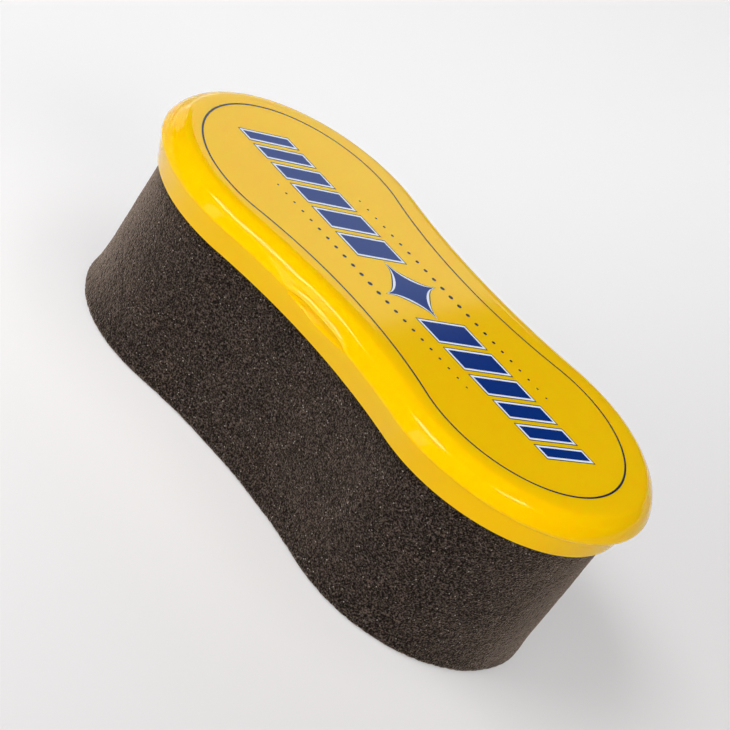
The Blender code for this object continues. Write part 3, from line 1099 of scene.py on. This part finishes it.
@dataclass
class Cap:
    """The yellow cap: shell with scoops, moulded posts with flattened heads, and stop ribs."""

    plan: CapPlan
    outline: WaistedOval
    scoop: Scoop
    columns: int = 640
    scoop_focus: float = 1.15
    scoop_gain: float = 3.0
    post_count: int = 6
    post_sides: int = 24
    post_radius: float = 1.6 * MM
    post_edge_distance: float = 10.0 * MM
    head_radius: float = 2.5 * MM
    head_height: float = 0.6 * MM
    head_z: float = 36.9 * MM
    rib_count: int = 8
    rib_reach: float = 1.6 * MM
    rib_width: float = 1.4 * MM
    rib_base_z: float = 38.6 * MM
    rib_spacing: float = 43.5

    def bead_edge(self) -> tuple[float, float]:
        """Return the inset and height at which the shoulder becomes the bead's round edge."""
        lean, foot = math.radians(self.plan.bead_lean), self.plan.step_z + self.plan.bead_round
        return self.plan.bead_round * (1.0 - math.cos(lean)), foot + self.plan.bead_round * math.sin(lean)

    def shoulder_points(self) -> list[tuple[float, float]]:
        """Return the insets and heights down the shoulder, a chain of arcs fitted between its two ends."""
        p = self.plan
        chain, tilt = Profile(p.shoulder_width, p.height), 90.0
        for end_tilt, length, steps in p.shoulder_turns:
            chain.bend(length / math.radians(tilt - end_tilt), -tilt, -end_tilt, steps)
            tilt = end_tilt
        end, level = self.bead_edge()
        wider = (p.shoulder_width - end) / (p.shoulder_width - chain.inset)
        deeper = (p.height - level) / (p.height - chain.level)
        fitted = [(p.shoulder_width, p.height)]
        for inset, height in chain.points:
            fitted_inset = p.shoulder_width - (p.shoulder_width - inset) * wider
            fitted.append((fitted_inset, p.height - (p.height - height) * deeper))
        return fitted

    def scoop_rim(self) -> tuple[float, float]:
        """Return the inset and height of the scoop's rim."""
        rim = self.scoop.rim_z
        points = self.shoulder_points()
        upper = [point for point in points if point[1] > rim][-1]
        under = points[points.index(upper) + 1]
        share = (upper[1] - rim) / (upper[1] - under[1])
        return upper[0] + (under[0] - upper[0]) * share + self.scoop.shift_at(rim), rim

    def shoulder_stations(self) -> list[Station]:
        """Return the stations of the rounded shoulder, whose lower end turns into the scoop's lip."""
        stations = []
        for inset, level in self.shoulder_points():
            above_rim = level > self.scoop.rim_z
            lifted = (inset + self.scoop.shift_at(level), level) if above_rim else self.scoop_rim()
            stations.append(Station(inset, level, None, lifted))
        return stations

    def side_stations(self) -> list[Station]:
        """Return the stations from the bead down to the skirt's edge."""
        p, scoop = self.plan, self.scoop
        end, top = self.bead_edge()
        lower, inner = p.edge_z + p.edge_round, p.skirt_step - p.step_fillet
        plain = Profile(end, top).bend(p.bead_round, -p.bead_lean, 90.0, RIM_ROWS - BEAD_FLAT_ROWS)
        plain.line(inner, p.step_z, BEAD_FLAT_ROWS).bend(p.step_fillet, 90.0, 0.0, FILLET_ROWS)
        plain.line(p.skirt_step, scoop.end_z - scoop.plain_drop, FLOOR_ROWS - FILLET_ROWS)
        plain.line(p.skirt_step, lower, FOOT_ROWS)
        drop, slope = p.waist_bead_drop, math.tan(math.radians(p.waist_draft))
        foot = end - drop * math.tan(math.radians(p.bead_lean))
        waist = Profile(end, top).line(foot, top - drop, DROP_ROWS)
        waist.bend(p.waist_round, -p.bead_lean, p.waist_draft, RIM_ROWS - DROP_ROWS)
        start_inset, start = waist.inset, waist.level
        waist.line(start_inset + (start - scoop.end_z) * slope, scoop.end_z, FLOOR_ROWS)
        waist.line(start_inset + (start - lower) * slope, lower, FOOT_ROWS)
        notch = Profile(*self.scoop_rim()).bend(scoop.lip_round, -scoop.flare_lean, 0.0, LIP_ROWS)
        notch.bend(scoop.lip_round, 0.0, 90.0, RIM_ROWS - 2 * LIP_ROWS)
        notch.line(scoop.dish_inset, scoop.dish_z, LIP_ROWS)
        notch.bend(scoop.dish_radius, scoop.dish_from, scoop.dish_to, FLOOR_ROWS)
        notch.line(waist.inset, lower, FOOT_ROWS)
        loss = (ROUND_FADE - STRAIGHT_FADE) / (FLOOR_ROWS - 1)
        fades = [ROUND_FADE] * RIM_ROWS + [ROUND_FADE - loss * step for step in range(FLOOR_ROWS)]
        fades += [STRAIGHT_FADE] * FOOT_ROWS
        rows = zip(plain.points, waist.points, notch.points, fades)
        return [Station(*outer, middle, scooped, fade) for outer, middle, scooped, fade in rows]

    def stations(self) -> list[Station]:
        """Return the section: down the outside, round the skirt's edge and up the inside."""
        p = self.plan
        stations = self.shoulder_stations() + self.side_stations()
        shift = stations[-1].waisted[0] - p.skirt_step
        for step in range(1, EDGE_ROWS + 1):
            turn = 0.5 * math.pi * step / EDGE_ROWS
            inset = p.skirt_step + p.edge_round * (1.0 - math.cos(turn))
            level = p.edge_z + p.edge_round * (1.0 - math.sin(turn))
            stations.append(Station(inset, level, (inset + shift, level)))
        fillet, wall_top = p.ceiling_fillet, p.ceiling_z - p.ceiling_fillet
        inside = ((p.mouth_inset, p.edge_z), (p.mouth_inset, p.ledge_z), (p.cavity_inset, p.ledge_z))
        stations += [Station(*point) for point in (*inside, (p.cavity_inset, wall_top))]
        return stations + curve_round(p.cavity_inset + fillet, wall_top, fillet, 0.0, 90.0, CEILING_ROWS)

    def build_shell(self, finish: bpy.types.Material) -> bpy.types.Object:
        """Make the shell.

        Args:
            finish: The plastic.

        Returns:
            The piece.
        """
        stations = self.stations()
        section = section_object("cap_section", stations)
        half = self.scoop.half_length
        recipe = Recipe(
            "cap_loft",
            {
                "Columns": self.columns,
                "Rows": len(stations),
                "Section": section,
                "Waist From": self.plan.waist_from,
                "Waist To": self.plan.waist_to,
                "Scoop Half Length": half,
                "Material": finish,
            },
        )
        recipe.serve(loft_tree(recipe))
        focus = self.scoop_focus * half
        guide = self.outline.loop("cap_outline", self.columns, focus=focus, gain=self.scoop_gain)
        shell = mould(recipe, "cap_shell", ROUND_ANGLE, guide, ("handle_cap",))
        bpy.data.objects.remove(section, do_unlink=True)
        return shell

    def build_posts(self, finish: bpy.types.Material) -> bpy.types.Object:
        """Make the six posts that hold the plate.

        Args:
            finish: The plastic.

        Returns:
            The piece.
        """
        p = self.plan
        reach = self.outline.end_radius - p.cavity_inset - self.post_edge_distance
        waist_reach = self.outline.waist_width / 2 - p.cavity_inset - self.post_edge_distance
        recipe = Recipe(
            "cap_posts",
            {
                "End Centre": self.outline.end_centre,
                "End Reach": reach,
                "Waist Reach": waist_reach,
                "Post Radius": self.post_radius,
                "Head Radius": self.head_radius,
                "Head Height": self.head_height,
                "Base": self.head_z,
                "Top": p.ceiling_z + p.top_wall / 2,
                "Count": self.post_count,
                "Material": finish,
            },
        )
        number = recipe.index()
        pair = recipe.maths("FLOOR", number / 2.0) - 1.0
        side = recipe.maths("MODULO", number, 2.0) * 2.0 - 1.0
        at_end = abs(pair)
        half = at_end * recipe.given("End Reach") + (1.0 - at_end) * recipe.given("Waist Reach")
        place = recipe.join(pair * recipe.given("End Centre"), side * half, recipe.given("Base"))
        points = recipe.place_at(recipe.row(recipe.given("Count")), place)
        height = recipe.given("Top") - recipe.given("Base")
        parts = []
        for radius, tall in (("Post Radius", height), ("Head Radius", recipe.given("Head Height"))):
            sizes = {"Vertices": self.post_sides, "Radius": recipe.given(radius), "Depth": tall}
            pin = recipe.add("GeometryNodeMeshCylinder", None, sizes, "Mesh")
            lift = recipe.join(0.0, 0.0, tall * 0.5)
            parts.append(recipe.add("GeometryNodeTransform", None, {"Geometry": pin, "Translation": lift}))
        both = recipe.add("GeometryNodeJoinGeometry", None, {0: parts[0]})
        recipe.tree.links.new(parts[1].socket, both.socket.node.inputs[0])
        recipe.serve(recipe.scatter(points, both, (1.0, 1.0, 1.0)))
        return mould(recipe, "cap_posts", ROUND_ANGLE)

    def build_ribs(self, finish: bpy.types.Material) -> bpy.types.Object:
        """Make the eight ribs on the inner wall that stop the plate.

        Args:
            finish: The plastic.

        Returns:
            The piece.
        """
        p = self.plan
        wall = self.outline.end_radius - p.cavity_inset
        per_end = self.rib_count / 2
        recipe = Recipe(
            "cap_ribs",
            {
                "Count": self.rib_count,
                "End Centre": self.outline.end_centre,
                "Inner": wall - self.rib_reach,
                "Outer": wall + p.upper_wall / 2,
                "Width": self.rib_width,
                "Base": self.rib_base_z,
                "Top": p.ceiling_z + p.top_wall / 2,
                "Spacing": math.radians(self.rib_spacing),
                "Material": finish,
            },
        )
        number = recipe.index()
        end = recipe.maths("FLOOR", number / per_end)
        step = recipe.maths("MODULO", number, per_end) - (per_end - 1.0) / 2
        turn = end * math.pi + step * recipe.given("Spacing")
        middle = (recipe.given("Inner") + recipe.given("Outer")) * 0.5
        centre = (1.0 - end * 2.0) * recipe.given("End Centre")
        x = centre + recipe.maths("COSINE", turn) * middle
        y = recipe.maths("SINE", turn) * middle
        z = (recipe.given("Base") + recipe.given("Top")) * 0.5
        points = recipe.place_at(recipe.row(recipe.given("Count")), recipe.join(x, y, z))
        deep = recipe.given("Outer") - recipe.given("Inner")
        size = recipe.join(deep, recipe.given("Width"), recipe.given("Top") - recipe.given("Base"))
        block = recipe.add("GeometryNodeMeshCube", None, {"Size": size}, "Mesh")
        recipe.serve(recipe.scatter(points, block, (1.0, 1.0, 1.0), recipe.join(0.0, 0.0, turn)))
        return mould(recipe, "cap_ribs", FLAT_ANGLE)


@dataclass
class FoamBlock:
    """The foam: straight cut sides with a soft flared foot and open cells all over."""

    outline: WaistedOval
    inset: float = 3.7 * MM
    top_z: float = 35.9 * MM
    flare: float = 0.5 * MM
    flare_height: float = 8.0 * MM
    edge_round: float = 0.8 * MM
    columns: int = 712
    middle_inset: float = 24.0 * MM
    top_steps: int = 6
    side_steps: int = 74
    edge_steps: int = 4
    base_steps: int = 26
    cell: float = 0.95 * MM
    cell_depth: float = 0.17 * MM
    nap: float = 0.16 * MM
    nap_size: float = 0.55 * MM
    swell: float = 0.25
    swell_size: float = 9 * MM
    lean: float = 0.5 * MM
    lean_height: float = 14 * MM
    seed: int = 7
    seed_step: float = 0.013
    plain_sharp_angle: float = 60.0
    sharp_angle: float = 75.0

    def stations(self) -> list[Station]:
        """Return the section: in from the top's middle, down the side and across the base."""
        deepest, steps = self.middle_inset, self.top_steps
        across = [deepest - (deepest - self.inset) * step / steps for step in range(steps + 1)]
        stations = [Station(inset, self.top_z) for inset in across]
        for step in range(1, self.side_steps + 1):
            z = self.top_z + (self.edge_round - self.top_z) * step / self.side_steps
            down = max(0.0, (self.flare_height - z) / (self.flare_height - self.edge_round))
            stations.append(Station(self.inset - self.flare * down ** 2, z))
        foot = self.inset - self.flare + self.edge_round
        stations += curve_round(foot, self.edge_round, self.edge_round, 0.0, -90.0, self.edge_steps)
        for step in range(1, self.base_steps + 1):
            stations.append(Station(foot + (deepest - foot) * step / self.base_steps, 0.0))
        return stations

    def build(self, finish: bpy.types.Material) -> bpy.types.Object:
        """Make the foam block.

        Args:
            finish: The foam.

        Returns:
            The piece.
        """
        stations = self.stations()
        section = section_object("foam_section", stations)
        sizes = {"Columns": self.columns, "Rows": len(stations), "Section": section}
        # The foam's stations have no place of their own for waist or scoop, so these change nothing.
        ranges = {"Waist From": 0.0, "Waist To": 1.0, "Scoop Half Length": 1.0}
        loft = Recipe("foam_loft", {**sizes, **ranges, "Material": finish})
        loft.serve(loft_tree(loft))
        block = loft.run("foam_plain", self.outline.loop("foam_outline", self.columns))
        bpy.data.objects.remove(section, do_unlink=True)
        close_and_shade(block, self.plain_sharp_angle)
        foam = self.open_cells(finish).run("foam_body", block)
        foam.data.shade_smooth()
        foam.data.set_sharp_from_angle(angle=math.radians(self.sharp_angle))
        settle(foam, "foam", "foam_block")
        return foam

    def open_cells(self, finish: bpy.types.Material) -> Recipe:
        """Write the tree that roughens the skin of the foam cell by cell.

        Args:
            finish: The foam.

        Returns:
            The tree.
        """
        recipe = Recipe(
            "foam_cells",
            {
                "Cell Size": self.cell,
                "Cell Depth": self.cell_depth,
                "Nap": self.nap,
                "Lean": self.lean,
                "Lean Height": self.lean_height,
                "Seed": self.seed,
                "Material": finish,
            },
        )
        place = recipe.position()
        shift = recipe.join(recipe.given("Seed") * self.seed_step, 0.0, 0.0)
        seat = recipe.vector("ADD", place, shift)
        pores = 1.0 - recipe.cells(seat, recipe.given("Cell Size")).eased(0.1, 0.6)
        rough = recipe.noise(seat, self.nap_size, 2.0, 0.7) - 0.5
        wave = recipe.noise(seat, self.swell_size, 1.0) - 0.5
        push = rough * recipe.given("Nap") - pores * recipe.given("Cell Depth") + wave * self.swell * MM
        normal = recipe.add("GeometryNodeInputNormal")
        rough_place = recipe.vector("ADD", place, recipe.vector("SCALE", normal, None, push))
        x, y, z = recipe.split(rough_place)
        low = (1.0 - z / recipe.given("Lean Height")).most(0.0)
        moved = recipe.join(x - low * low * recipe.given("Lean"), y, z.most(0.0).least(self.top_z))
        recipe.serve(recipe.place_at(recipe.given("Geometry"), moved))
        return recipe


# Height in millimetres of the lowest film of ink, and how much higher each next one stands
LOWEST_FILM, FILM_STEP = 0.012, 0.008


class Layer(Enum):
    """The inks of the print, from the lowest to the topmost film."""

    NAVY = 0
    WHITE = 1
    BLUE = 2

    @property
    def thickness(self) -> float:
        """How high this film stands above the plastic."""
        return (LOWEST_FILM + FILM_STEP * self.value) * MM


@dataclass(frozen=True)
class PrintPlan:
    """Sizes of the printed decoration on the top face."""

    level: float = 43.5 * MM
    shift_x: float = -0.40 * MM
    shift_y: float = -1.14 * MM
    line_width: float = 0.42 * MM
    white_margin: float = 0.50 * MM
    navy_margin: float = 0.72 * MM
    bar_height: float = 11.0 * MM
    bar_first_width: float = 5.6 * MM
    bar_narrowing: float = 0.62 * MM
    bar_gap: float = 2.5 * MM
    bar_count: int = 6
    centre_gap: float = 9.5 * MM
    slant: float = 0.30
    star_radius: float = 7.6 * MM
    star_power: float = 0.62
    star_steps: int = 96
    star_margin_gain: float = 0.4
    dot_rows: float = 10.2 * MM
    dot_pitch: float = 2.6 * MM
    dot_radius: float = 0.55 * MM
    dot_count: int = 23
    dot_sides: int = 20
    dot_shrink: float = 1.2
    line_steps: int = 420


@dataclass
class TopPrint:
    """The ink on the top face: a line along the edge, and a generic band of bars, dots and a sparkle."""

    plan: PrintPlan
    line_outline: WaistedOval

    def margin(self, layer: Layer) -> float:
        """Return how far a layer stands out around the blue shapes."""
        p = self.plan
        return {Layer.NAVY: p.navy_margin, Layer.WHITE: p.white_margin, Layer.BLUE: 0.0}[layer]

    def film(self, name: str, layer: Layer, finish: bpy.types.Material, sizes: dict[str, Any]) -> Recipe:
        """Start the tree of a printed film, with its own sizes and those that all films have."""
        shared = {"Thickness": layer.thickness, "Level": self.plan.level, "Material": finish}
        return Recipe(f"{name}_{layer.name.lower()}", {**sizes, **shared})

    def build_line(self, finish: bpy.types.Material) -> bpy.types.Object:
        """Make the thin line that runs along the edge of the top face.

        Args:
            finish: The ink.

        Returns:
            The piece.
        """
        p = self.plan
        thickness = Layer.NAVY.thickness
        recipe = Recipe("edge_line", {"Width": p.line_width, "Thickness": thickness, "Material": finish})
        path = recipe.add("GeometryNodeMeshToCurve", None, {"Mesh": recipe.given("Geometry")})
        upright = recipe.add("GeometryNodeSetCurveNormal", {"mode": "Z_UP"}, {"Curve": path})
        sizes = {"Width": recipe.given("Width"), "Height": recipe.given("Thickness")}
        strip = recipe.add("GeometryNodeCurvePrimitiveQuadrilateral", None, sizes)
        recipe.serve(recipe.add("GeometryNodeCurveToMesh", None, {"Curve": upright, "Profile Curve": strip}))
        shift = (p.shift_x, p.shift_y)
        guide = self.line_outline.loop("line_outline", p.line_steps, p.level + thickness / 2, shift)
        return mould(recipe, "print_edge_line", FLAT_ANGLE, guide)

    def build_bars(self, layer: Layer, finish: bpy.types.Material) -> bpy.types.Object:
        """Make one ink of the slanted bars, which narrow from the middle to both ends.

        Args:
            layer: The ink.
            finish: Its material.

        Returns:
            The piece.
        """
        p = self.plan
        sizes = {
            "Per Side": p.bar_count,
            "First Width": p.bar_first_width,
            "Narrowing": p.bar_narrowing,
            "Gap": p.bar_gap,
            "Centre Gap": p.centre_gap,
            "Height": p.bar_height,
            "Slant": p.slant,
            "Margin": self.margin(layer),
        }
        recipe = self.film("bars", layer, finish, sizes)
        per_side = recipe.given("Per Side")
        number = recipe.index()
        side = (number > per_side - 0.5) * 2.0 - 1.0
        rank = recipe.maths("MODULO", number, per_side)
        width = recipe.given("First Width") - rank * recipe.given("Narrowing")
        stride = recipe.given("First Width") + recipe.given("Gap")
        narrowed = rank * (rank - 1.0) * 0.5 * recipe.given("Narrowing")
        start = recipe.given("Centre Gap") + rank * stride - narrowed
        x = side * (start + width * 0.5)
        z = recipe.given("Level") + recipe.given("Thickness") * 0.5
        points = recipe.place_at(recipe.row(per_side * 2), recipe.join(x + p.shift_x, p.shift_y, z))
        margin = recipe.given("Margin") * 2.0
        lean = math.sqrt(1.0 + p.slant ** 2)
        size = recipe.join(width + margin * lean, recipe.given("Height") + margin, recipe.given("Thickness"))
        block = recipe.add("GeometryNodeMeshCube", None, {"Size": (1.0, 1.0, 1.0)}, "Mesh")
        copies = {"Geometry": recipe.scatter(points, block, size)}
        bars = recipe.add("GeometryNodeRealizeInstances", None, copies)
        px, py, pz = recipe.split(recipe.position())
        slanted_x = px + (py - p.shift_y) * recipe.given("Slant")
        recipe.serve(recipe.place_at(bars, recipe.join(slanted_x, py, pz)))
        return mould(recipe, f"print_bars_{layer.name.lower()}", FLAT_ANGLE)

    def build_sparkles(self, layer: Layer, finish: bpy.types.Material) -> bpy.types.Object:
        """Make one ink of the four-pointed sparkle in the middle.

        Args:
            layer: The ink.
            finish: Its material.

        Returns:
            The piece.
        """
        p = self.plan
        sizes = {"Radius": p.star_radius, "Power": p.star_power, "Margin": self.margin(layer)}
        recipe = self.film("sparkles", layer, finish, sizes)
        circle = {"Resolution": p.star_steps, "Radius": 1.0}
        ring = recipe.add("GeometryNodeCurvePrimitiveCircle", None, circle, "Curve")
        x, y, _ = recipe.split(recipe.position())
        power = recipe.given("Power")
        reach = (abs(x) ** power + abs(y) ** power) ** (-1.0 / power)
        margin = recipe.given("Margin") * (1.0 + (1.0 - reach) * p.star_margin_gain)
        radius = reach * recipe.given("Radius") + margin
        place = recipe.join(x * radius + p.shift_x, y * radius + p.shift_y, 0.0)
        flat = recipe.add("GeometryNodeFillCurve", {"mode": "NGONS"}, {"Curve": recipe.place_at(ring, place)})
        lift = {"Geometry": flat, "Translation": recipe.join(0.0, 0.0, recipe.given("Level"))}
        star = recipe.add("GeometryNodeTransform", None, lift)
        rise = recipe.join(0.0, 0.0, recipe.given("Thickness"))
        sockets = {"Mesh": star, "Offset": rise, "Offset Scale": 1.0, "Individual": False}
        recipe.serve(recipe.add("GeometryNodeExtrudeMesh", None, sockets, "Mesh"))
        return mould(recipe, f"print_sparkles_{layer.name.lower()}", FLAT_ANGLE)

    def build_dots(self, finish: bpy.types.Material) -> bpy.types.Object:
        """Make the two rows of dots that shrink towards their ends.

        Args:
            finish: The ink.

        Returns:
            The piece.
        """
        p = self.plan
        sizes = {
            "Count": p.dot_count,
            "Pitch": p.dot_pitch,
            "Row Distance": p.dot_rows,
            "Radius": p.dot_radius,
        }
        recipe = self.film("dots", Layer.NAVY, finish, sizes)
        count = recipe.given("Count")
        number = recipe.index()
        side = (number > count - 0.5) * 2.0 - 1.0
        step = recipe.maths("MODULO", number, count) - (count - 1.0) * 0.5
        size = 1.0 - abs(step) / count * p.dot_shrink
        y = side * recipe.given("Row Distance")
        z = recipe.given("Level") + recipe.given("Thickness") * 0.5
        place = recipe.join(step * recipe.given("Pitch") + p.shift_x + y * p.slant, y + p.shift_y, z)
        points = recipe.place_at(recipe.row(count * 2), place)
        round_sizes = {"Radius": recipe.given("Radius"), "Depth": recipe.given("Thickness")}
        disc = recipe.add("GeometryNodeMeshCylinder", None, {"Vertices": p.dot_sides, **round_sizes}, "Mesh")
        recipe.serve(recipe.scatter(points, disc, recipe.join(size, size, 1.0)))
        return mould(recipe, "print_dots", FLAT_ANGLE)


@dataclass(frozen=True)
class SoftBox:
    """A rectangular studio lamp that points at the sponge."""

    name: str
    azimuth: float
    elevation: float
    distance: float
    width: float
    height: float
    radiance: float
    roll: float = 0.0
    mirrored: bool = True
    lit: bool = True
    colour: Colour = (1.0, 1.0, 1.0)

    def hang(self, target: Vector) -> None:
        """Make the lamp.

        Args:
            target: The point that it faces.
        """
        lamp = bpy.data.lights.new(self.name, "AREA")
        lamp.shape = "RECTANGLE"
        lamp.size, lamp.size_y = self.width, self.height
        lamp.energy = self.radiance * math.pi * self.width * self.height
        lamp.color = self.colour
        holder = bpy.data.objects.new(self.name, lamp)
        bpy.context.scene.collection.objects.link(holder)
        away = heading(self.azimuth, self.elevation)
        holder.location = target + away * self.distance
        holder.rotation_mode = "QUATERNION"
        spin = Quaternion((0.0, 0.0, 1.0), math.radians(self.roll))
        holder.rotation_quaternion = away.to_track_quat("Z", "Y") @ spin
        holder.visible_camera = False
        holder.visible_glossy = self.mirrored
        holder.visible_diffuse = self.lit


FILL_DISTANCE, FILL_WIDTH, FILL_HEIGHT = 2.4, 2.08, 1.28


def fill_box(name: str, azimuth: float, elevation: float, radiance: float) -> SoftBox:
    """Return a broad lamp that lights the sponge and isn't mirrored in it."""
    return SoftBox(name, azimuth, elevation, FILL_DISTANCE, FILL_WIDTH, FILL_HEIGHT, radiance, mirrored=False)


@dataclass(frozen=True)
class Studio:
    """The floor with its low cove, the lamps, the ambient light and the camera."""

    flat_radius: float = 0.6
    floor_radius: float = 2.6
    floor_sides: int = 96
    cove_steps: int = 8
    cove_radius: float = 0.35
    cove_height: float = 0.55
    air_colour: tuple[float, float, float, float] = (0.95, 0.975, 1.0, 1.0)
    ambient: float = 0.05
    aim_z: float = 30 * MM
    focal_length: float = 112.401
    sensor_width: float = 36.0
    nearest: float = 0.02
    furthest: float = 20.0
    camera_place: tuple[float, float, float] = (168.619 * MM, -360.032 * MM, 232.387 * MM)
    camera_turn: tuple[float, float, float, float] = (0.739042, 0.515475, -0.046889, 0.431166)
    boxes: tuple[SoftBox, ...] = (
        SoftBox("key_box", 138.0, 54.0, 2.2, 1.24, 0.92, 6.9, mirrored=False),
        SoftBox("glint_card", 149.5, 55.5, 2.2, 0.96, 0.50, 27.0, lit=False, colour=(0.32, 0.38, 1.0)),
        SoftBox("right_glint", 251.0, 61.0, 2.2, 0.78, 0.32, 29.0, lit=False, colour=(0.50, 0.58, 1.0)),
        SoftBox("top_box", -50.0, 71.0, 2.3, 1.30, 0.78, 2.1, mirrored=False),
        SoftBox("pale_card", 39.8, 16.5, 2.3, 1.42, 0.70, 1.08, roll=-42.0),
        SoftBox("left_card", 66.0, 15.0, 2.2, 0.90, 0.70, 1.1, lit=False),
        SoftBox("side_card", 159.0, 19.0, 2.2, 0.46, 1.34, 5.2, lit=False, colour=(0.56, 0.62, 1.0)),
        fill_box("front_low_fill", 180.0, 10.0, 2.80),
        fill_box("front_high_fill", 180.0, 40.0, 0.95),
        fill_box("right_fill", 215.0, 16.0, 1.15),
        fill_box("end_fill", 250.0, 25.0, 2.5),
        fill_box("back_fill", 0.0, 30.0, 0.55),
    )

    def build_floor(self) -> None:
        """Make the round floor, which turns up into a low wall far from the sponge."""
        profile = [(self.flat_radius, 0.0), (self.floor_radius, 0.0)]
        for step in range(1, self.cove_steps + 1):
            angle = 0.5 * math.pi * step / self.cove_steps
            out = self.floor_radius + self.cove_radius * math.sin(angle)
            profile.append((out, self.cove_radius * (1.0 - math.cos(angle))))
        profile.append((profile[-1][0], self.cove_height))
        bm = bmesh.new()
        sides = self.floor_sides
        turns = [2 * math.pi * index / sides for index in range(sides)]
        loops = []
        for radius, z in profile:
            loops.append([bm.verts.new((radius * math.cos(a), radius * math.sin(a), z)) for a in turns])
        bm.faces.new(loops[0])
        for inner, outer in zip(loops, loops[1:]):
            for index in range(sides):
                following = (index + 1) % sides
                bm.faces.new((inner[index], outer[index], outer[following], inner[following]))
        mesh = bpy.data.meshes.new("studio_floor")
        bm.to_mesh(mesh)
        bm.free()
        mesh.shade_smooth()
        floor = link("studio_floor", mesh)
        give_finish(floor, PAPER.make())

    def build_world(self) -> None:
        """Make the even ambient light."""
        world = bpy.data.worlds.new("studio_air")
        world.use_nodes = True
        background = world.node_tree.nodes["Background"]
        background.inputs["Color"].default_value = self.air_colour
        background.inputs["Strength"].default_value = self.ambient
        bpy.context.scene.world = world

    def build_camera(self) -> None:
        """Make the camera that sees the sponge as the photograph does."""
        lens = bpy.data.cameras.new("main_camera")
        lens.sensor_width = self.sensor_width
        lens.lens = self.focal_length
        lens.clip_start, lens.clip_end = self.nearest, self.furthest
        camera = bpy.data.objects.new("main_camera", lens)
        bpy.context.scene.collection.objects.link(camera)
        camera.location = self.camera_place
        camera.rotation_mode = "QUATERNION"
        camera.rotation_quaternion = Quaternion(self.camera_turn)
        bpy.context.scene.camera = camera

    def build(self) -> None:
        """Make everything around the sponge."""
        self.build_floor()
        self.build_world()
        self.build_camera()
        for box in self.boxes:
            box.hang(Vector((0.0, 0.0, self.aim_z)))
        bpy.context.scene.view_settings.view_transform = "Standard"


def dress_hidden_layers() -> None:
    """Give the layers between cap and foam their finishes."""
    finishes = {"oil_pad": OILED_FELT, "feed_plate": PLATE_PLASTIC, "glue_film": AMBER_GLUE}
    for node, finish in finishes.items():
        material = finish.make()
        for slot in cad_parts[node].material_slots:
            slot.material = material
        LOG.info("%s: dressed as %s", node, material.name)


def main() -> None:
    """Build the pieces in order, then the studio."""
    logging.basicConfig(level=logging.INFO, format="%(name)s: %(message)s")
    plastic = YELLOW_PLASTIC.make()
    cap = Cap(CapPlan(), CAP_OUTLINE, Scoop())
    cap.build_shell(plastic)
    cap.build_posts(plastic)
    cap.build_ribs(plastic)
    FoamBlock(CAP_OUTLINE).build(CHARCOAL_FOAM.make())
    inks = {Layer.NAVY: NAVY_INK.make(), Layer.WHITE: WHITE_INK.make(), Layer.BLUE: BLUE_INK.make()}
    decoration = TopPrint(PrintPlan(), LINE_OUTLINE)
    decoration.build_line(inks[Layer.NAVY])
    decoration.build_dots(inks[Layer.NAVY])
    for layer, ink in inks.items():
        decoration.build_bars(layer, ink)
        decoration.build_sparkles(layer, ink)
    dress_hidden_layers()
    Studio().build()


if __name__ == "__main__":
    main()
